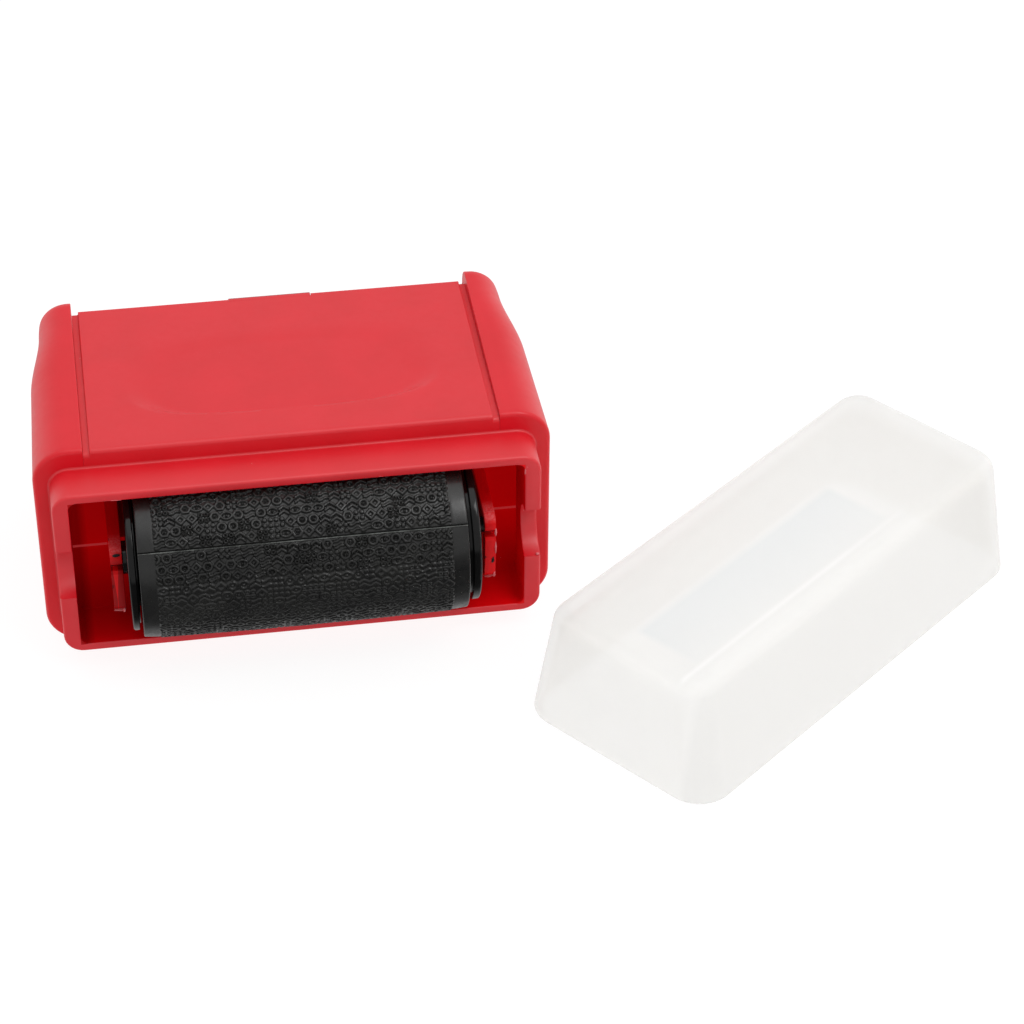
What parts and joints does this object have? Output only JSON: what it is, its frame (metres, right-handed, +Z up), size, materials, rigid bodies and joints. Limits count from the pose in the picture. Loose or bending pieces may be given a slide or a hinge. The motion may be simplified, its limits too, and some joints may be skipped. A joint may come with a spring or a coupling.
{
  "type": "privacy roller stamp",
  "caption": "Pocket roller stamp whose patterned rubber roller prints over text to hide it, with a refill cartridge, an ink roller and a lift-off cap",
  "frame": {"origin": "middle of the footprint of the stamp and its cap, on the table", "axes": "+X along the roller's axle towards the cap, +Y from the mouth to the back, +Z up"},
  "size_m": [0.1314, 0.08, 0.0316],
  "materials": {
    "red_shell": "moulded, satin gloss",
    "red_inner": "moulded, slightly see-through",
    "stamp_rubber": "inked, with a raised pattern",
    "gloss_black": "polished",
    "core_black": "plain moulded",
    "ink_felt": "felt soaked with ink",
    "steel": "plain drawn pin",
    "milky_cap": "milky, see-through, satin"
  },
  "bodies": {
    "housing": {"handle_shell": "red_shell", "left_cheek": "red_shell", "right_cheek": "red_shell", "mouth_frame": "red_inner"},
    "cartridge": {"cartridge_frame": "red_inner", "rear_cover": "red_shell", "stamp_axle": "core_black", "ink_axle": "steel"},
    "stamp_roller": {"stamp_core": "core_black", "stamp_sleeve": "stamp_rubber", "stamp_flange_left": "gloss_black", "stamp_flange_right": "gloss_black"},
    "ink_roller": {"ink_felt": "ink_felt", "ink_core": "core_black", "ink_hub_left": "core_black", "ink_hub_right": "core_black"},
    "cap": {"cap": "milky_cap"}
  },
  "joints": [
    {"name": "cartridge_draw", "type": "slide", "parent": "housing", "child": "cartridge", "axis": [0, 1, 0], "range_m": [0, 0.05]},
    {"name": "stamp_spin", "type": "hinge", "parent": "cartridge", "child": "stamp_roller", "pos_m": [-0.03171, 0.0013, 0.0158], "axis": [1, 0, 0], "continuous": true},
    {"name": "ink_spin", "type": "hinge", "parent": "cartridge", "child": "ink_roller", "pos_m": [-0.03171, 0.01835, 0.0158], "axis": [1, 0, 0], "continuous": true},
    {"name": "cap_lift", "type": "slide", "parent": "housing", "child": "cap", "axis": [0, 0, 1], "range_m": [0, 0.05]}
  ],
  "couplings": [
    {"joint": "ink_spin", "follows": "stamp_spin", "ratio": -2.0455}
  ]
}
